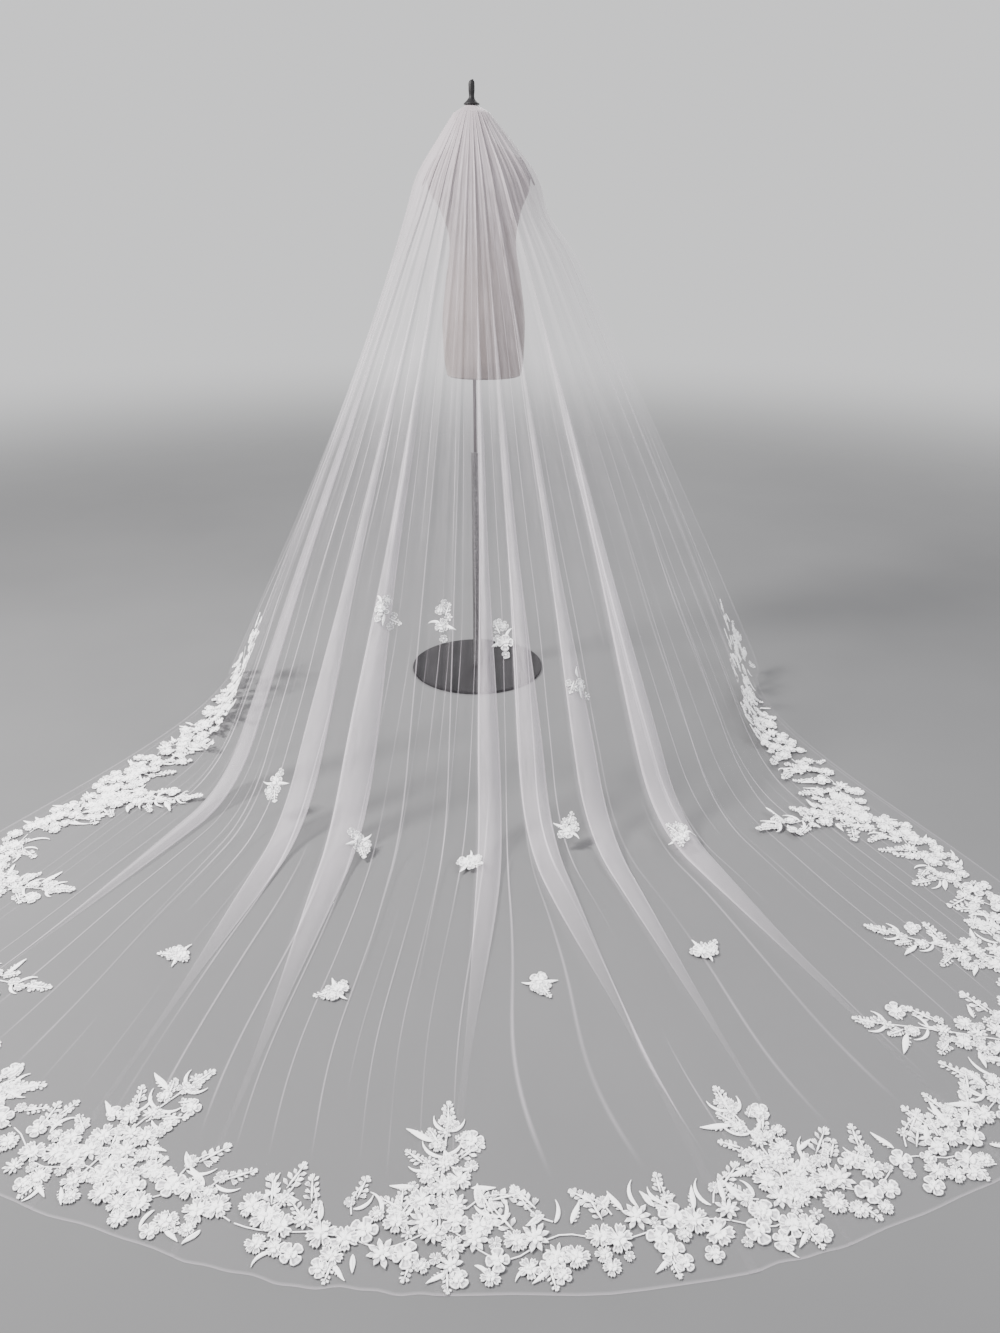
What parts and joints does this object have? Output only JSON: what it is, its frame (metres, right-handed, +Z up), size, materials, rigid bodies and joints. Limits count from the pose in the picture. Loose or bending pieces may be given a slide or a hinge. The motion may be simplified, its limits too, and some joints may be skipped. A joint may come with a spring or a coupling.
{
  "type": "bridal veil on a dress form",
  "caption": "Single-tier cathedral bridal veil of sheer gathered tulle, with lace applique round the edge of its train, hung from the neck of a limbless dress form on a pole stand.",
  "frame": {"origin": "on the floor, under the centre of the stand's base plate", "axes": "+Z up; -Y the way the train runs out from the stand; +X to the right of someone who looks at the form's back along +Y"},
  "size_m": [2.59, 2.3435, 1.697],
  "materials": {
    "tulle": "sheer soft net",
    "lace": "corded lace, matt with a slight sheen on the cords",
    "form_cover": "matt stretch jersey",
    "form_plastic": "satin dark plastic",
    "finial_black": "black, semi-gloss",
    "base_black": "satin black paint",
    "tube_grey": "grey hammered paint",
    "rod_steel": "dark steel"
  },
  "bodies": {
    "root": {"form_arm_plate_left": "form_plastic", "form_arm_plate_right": "form_plastic", "form_finial": "finial_black", "form_neck_cap": "form_cover", "form_torso": "form_cover", "lace_hem_centre": "lace", "lace_hem_left": "lace", "lace_hem_right": "lace", "lace_left_corner": "lace", "lace_left_lower": "lace", "lace_left_mid": "lace", "lace_left_side": "lace", "lace_left_upper": "lace", "lace_right_corner": "lace", "lace_right_lower": "lace", "lace_right_mid": "lace", "lace_right_side": "lace", "lace_right_upper": "lace", "motif_01": "lace", "motif_02": "lace", "motif_03": "lace", "motif_04": "lace", "motif_05": "lace", "motif_06": "lace", "motif_07": "lace", "motif_08": "lace", "motif_09": "lace", "motif_10": "lace", "motif_11": "lace", "motif_12": "lace", "motif_13": "lace", "stand_base": "base_black", "stand_rod": "rod_steel", "stand_tube": "tube_grey", "tulle_drape": "tulle", "tulle_train": "tulle"}
  },
  "joints": []
}
